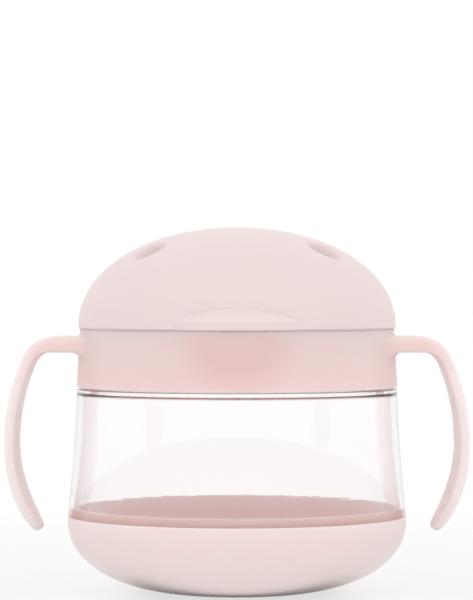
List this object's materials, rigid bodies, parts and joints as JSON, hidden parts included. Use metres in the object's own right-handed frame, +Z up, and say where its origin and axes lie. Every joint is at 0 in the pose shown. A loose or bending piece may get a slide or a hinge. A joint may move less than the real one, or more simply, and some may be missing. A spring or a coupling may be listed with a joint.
{
  "type": "toddler snack container",
  "caption": "Toddler snack cup with a clear wall, bowl base, screw collar with two open handles, slit spill guard and hinged domed lid.",
  "frame": {"origin": "centre of the flat foot, on the surface that the cup stands on", "axes": "+Z up the cup's axis, -Y towards the lid's thumb tab, +X through one handle"},
  "size_m": [0.1254, 0.0973, 0.0992],
  "materials": {
    "pink_plastic": "satin moulded polypropylene",
    "clear_plastic": "clear copolyester",
    "silicone": "soft matt silicone",
    "seal_rubber": "soft rubber",
    "steel": "bright pin"
  },
  "bodies": {
    "cup": {"base": "pink_plastic", "cup": "clear_plastic"},
    "guard": {"guard": "silicone"},
    "collar": {"collar": "pink_plastic", "hinge_pin": "steel"},
    "lid": {"lid": "pink_plastic", "lid_seal": "seal_rubber"},
    "petal_1": {"petal_1": "silicone"},
    "petal_2": {"petal_2": "silicone"},
    "petal_3": {"petal_3": "silicone"},
    "petal_4": {"petal_4": "silicone"},
    "petal_5": {"petal_5": "silicone"},
    "petal_6": {"petal_6": "silicone"}
  },
  "joints": [
    {"name": "guard_lift", "type": "slide", "parent": "cup", "child": "guard", "axis": [0, 0, 1], "range_m": [0, 0.01]},
    {"name": "collar_turn", "type": "hinge", "parent": "guard", "child": "collar", "pos_m": [0, 0, 0.0555], "axis": [0, 0, 1], "range_deg": [0, 300]},
    {"name": "lid_hinge", "type": "hinge", "parent": "collar", "child": "lid", "pos_m": [0, 0.0469, 0.0719], "axis": [-1, 0, 0], "range_deg": [0, 135]},
    {"name": "petal_1_flex", "type": "hinge", "parent": "guard", "child": "petal_1", "pos_m": [0.0252, 0, 0.06725], "axis": [0, -1, 0], "range_deg": [-45, 70], "stiffness_Nm_per_rad": 0.004},
    {"name": "petal_2_flex", "type": "hinge", "parent": "guard", "child": "petal_2", "pos_m": [0.0126, 0.02182, 0.06725], "axis": [0.866, -0.5, 0], "range_deg": [-45, 70], "stiffness_Nm_per_rad": 0.004},
    {"name": "petal_3_flex", "type": "hinge", "parent": "guard", "child": "petal_3", "pos_m": [-0.0126, 0.02182, 0.06725], "axis": [0.866, 0.5, 0], "range_deg": [-45, 70], "stiffness_Nm_per_rad": 0.004},
    {"name": "petal_4_flex", "type": "hinge", "parent": "guard", "child": "petal_4", "pos_m": [-0.0252, 0, 0.06725], "axis": [0, 1, 0], "range_deg": [-45, 70], "stiffness_Nm_per_rad": 0.004},
    {"name": "petal_5_flex", "type": "hinge", "parent": "guard", "child": "petal_5", "pos_m": [-0.0126, -0.02182, 0.06725], "axis": [-0.866, 0.5, 0], "range_deg": [-45, 70], "stiffness_Nm_per_rad": 0.004},
    {"name": "petal_6_flex", "type": "hinge", "parent": "guard", "child": "petal_6", "pos_m": [0.0126, -0.02182, 0.06725], "axis": [-0.866, -0.5, 0], "range_deg": [-45, 70], "stiffness_Nm_per_rad": 0.004}
  ],
  "couplings": [
    {"joint": "guard_lift", "follows": "collar_turn", "m_per_rad": 0.0019099}
  ]
}
